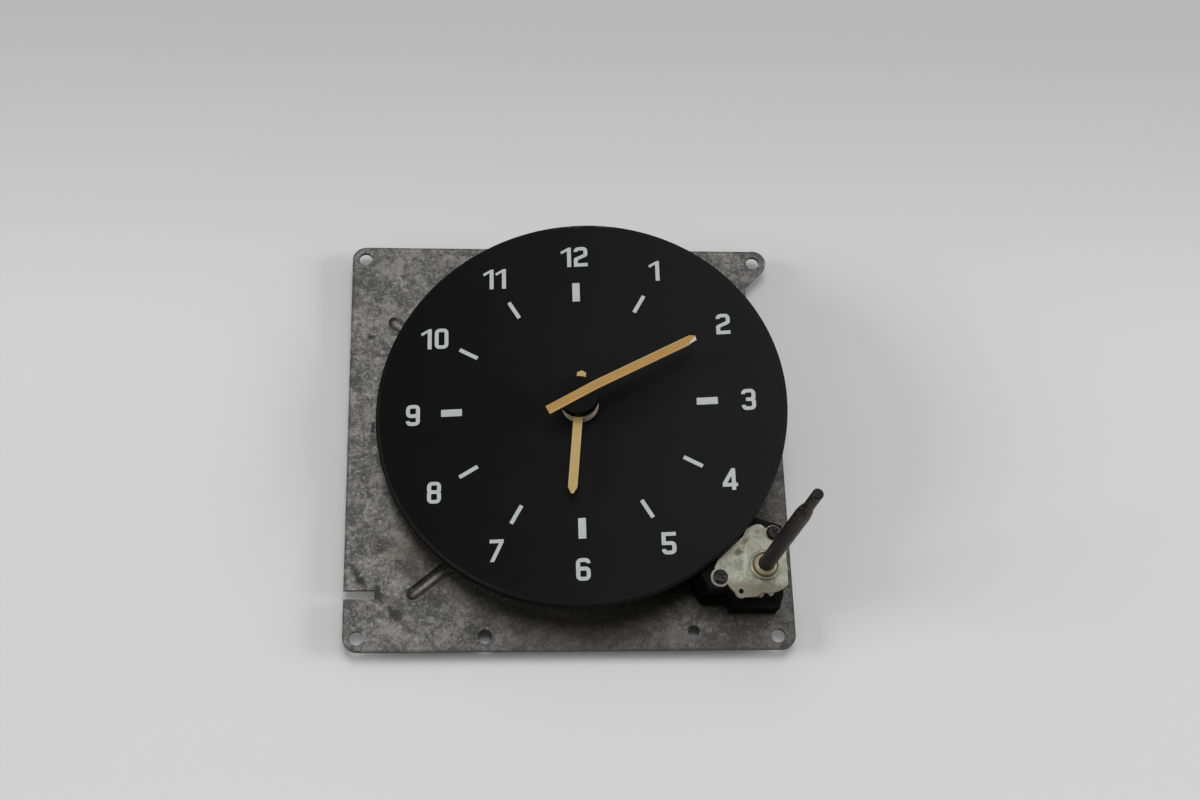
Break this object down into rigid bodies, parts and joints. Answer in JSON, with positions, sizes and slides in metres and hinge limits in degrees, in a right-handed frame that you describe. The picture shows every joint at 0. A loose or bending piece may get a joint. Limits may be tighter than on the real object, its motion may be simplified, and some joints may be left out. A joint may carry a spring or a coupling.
{
  "type": "car clock",
  "caption": "Dashboard quartz clock on a square base plate: inclined black dial, tan hands, geared stepper movement and a push-and-turn setting shaft.",
  "frame": {"origin": "centre of the four corner holes, on the base plate's front face", "axes": "+Z out of the plate towards the reader, +X to the right and +Y to the top of the plate"},
  "size_m": [0.1075, 0.1073, 0.0651],
  "materials": {
    "plate_steel": "satin",
    "dial_black": "matte",
    "hand_lacquer": "satin",
    "hub_black": "satin",
    "hub_pale": "matte",
    "moulded_black": "matte",
    "plated_cover": "satin",
    "screw_black": "satin",
    "bush_tan": "matte",
    "shaft_bronzed": "satin",
    "wheel_pale": "satin",
    "brass": "satin",
    "steel": "satin",
    "nylon": "matte",
    "magnet": "matte",
    "iron": "satin",
    "copper": "gloss",
    "board_green": "satin",
    "chip_black": "matte",
    "can_steel": "satin",
    "capacitor_blue": "satin",
    "tinned": "satin"
  },
  "bodies": {
    "base": {"base_plate": "plate_steel", "dial": "dial_black", "dial_feet": "steel", "foot_screws": "steel", "movement_carrier": "moulded_black", "front_plate": "brass", "plate_screws": "steel", "pillars": "brass", "rear_plate": "brass", "pillar_screws": "steel", "board_spacers": "nylon", "circuit_board": "board_green", "quartz_can": "can_steel", "driver_chip": "chip_black", "capacitor": "capacitor_blue", "terminals": "tinned", "stator": "iron", "stator_posts": "brass", "coil_core": "iron", "coil_bobbin": "nylon", "coil_winding": "copper", "stator_screws": "steel", "minute_stud": "steel", "rear_cover": "moulded_black", "rear_screws": "steel", "unit_housing": "moulded_black", "unit_cover": "plated_cover", "unit_screws": "screw_black", "shaft_bush": "bush_tan", "return_spring": "steel", "idler_stud": "steel"},
    "minute_train": {"centre_arbor": "steel", "centre_wheel": "brass", "cannon_pinion": "brass", "minute_hub": "hub_black", "minute_hand": "hand_lacquer"},
    "hour_set": {"hour_wheel": "nylon", "hour_hub": "hub_pale", "hour_hand": "hand_lacquer"},
    "minute_wheel_set": {"minute_wheel": "nylon"},
    "third_set": {"third_arbor": "steel", "third_wheel": "brass"},
    "rotor_set": {"rotor_arbor": "nylon", "rotor_magnet": "magnet"},
    "push_carrier": {"push_cup": "steel"},
    "shaft_set": {"setting_shaft": "shaft_bronzed", "shaft_wheel": "wheel_pale"},
    "idler_set": {"setting_idler": "nylon"}
  },
  "joints": [
    {"name": "minute_turn", "type": "hinge", "parent": "base", "child": "minute_train", "pos_m": [0.00314, 0.004, 0.0119], "axis": [-0.1305, 0, 0.9914], "continuous": true},
    {"name": "minute_wheel_turn", "type": "hinge", "parent": "base", "child": "minute_wheel_set", "pos_m": [0.0076, 0.01179, 0.01249], "axis": [-0.1305, 0, 0.9914], "continuous": true},
    {"name": "hour_turn", "type": "hinge", "parent": "base", "child": "hour_set", "pos_m": [0.00314, 0.004, 0.0119], "axis": [-0.1305, 0, 0.9914], "continuous": true},
    {"name": "third_turn", "type": "hinge", "parent": "base", "child": "third_set", "pos_m": [-0.00501, 0.00101, 0.01083], "axis": [-0.1305, 0, 0.9914], "continuous": true},
    {"name": "rotor_turn", "type": "hinge", "parent": "base", "child": "rotor_set", "pos_m": [-0.00604, -0.0049, 0.01069], "axis": [-0.1305, 0, 0.9914], "continuous": true},
    {"name": "shaft_push", "type": "slide", "parent": "base", "child": "push_carrier", "axis": [-0.0698, 0, -0.9976], "range_m": [0, 0.002], "stiffness_N_per_m": 600, "springref_m": -0.0008, "deforming": ["return_spring"]},
    {"name": "shaft_turn", "type": "hinge", "parent": "push_carrier", "child": "shaft_set", "pos_m": [0.0448, -0.0364, 0], "axis": [0.0698, 0, 0.9976], "continuous": true},
    {"name": "idler_turn", "type": "hinge", "parent": "base", "child": "idler_set", "pos_m": [0.03599, -0.03067, 0.00062], "axis": [0.0698, 0, 0.9976], "continuous": true}
  ],
  "couplings": [
    {"joint": "minute_wheel_turn", "follows": "minute_turn", "ratio": -0.33333},
    {"joint": "hour_turn", "follows": "minute_turn", "ratio": 0.083333},
    {"joint": "third_turn", "follows": "minute_turn", "ratio": -6},
    {"joint": "rotor_turn", "follows": "minute_turn", "ratio": 30},
    {"joint": "idler_turn", "follows": "shaft_turn", "ratio": -1.25}
  ]
}
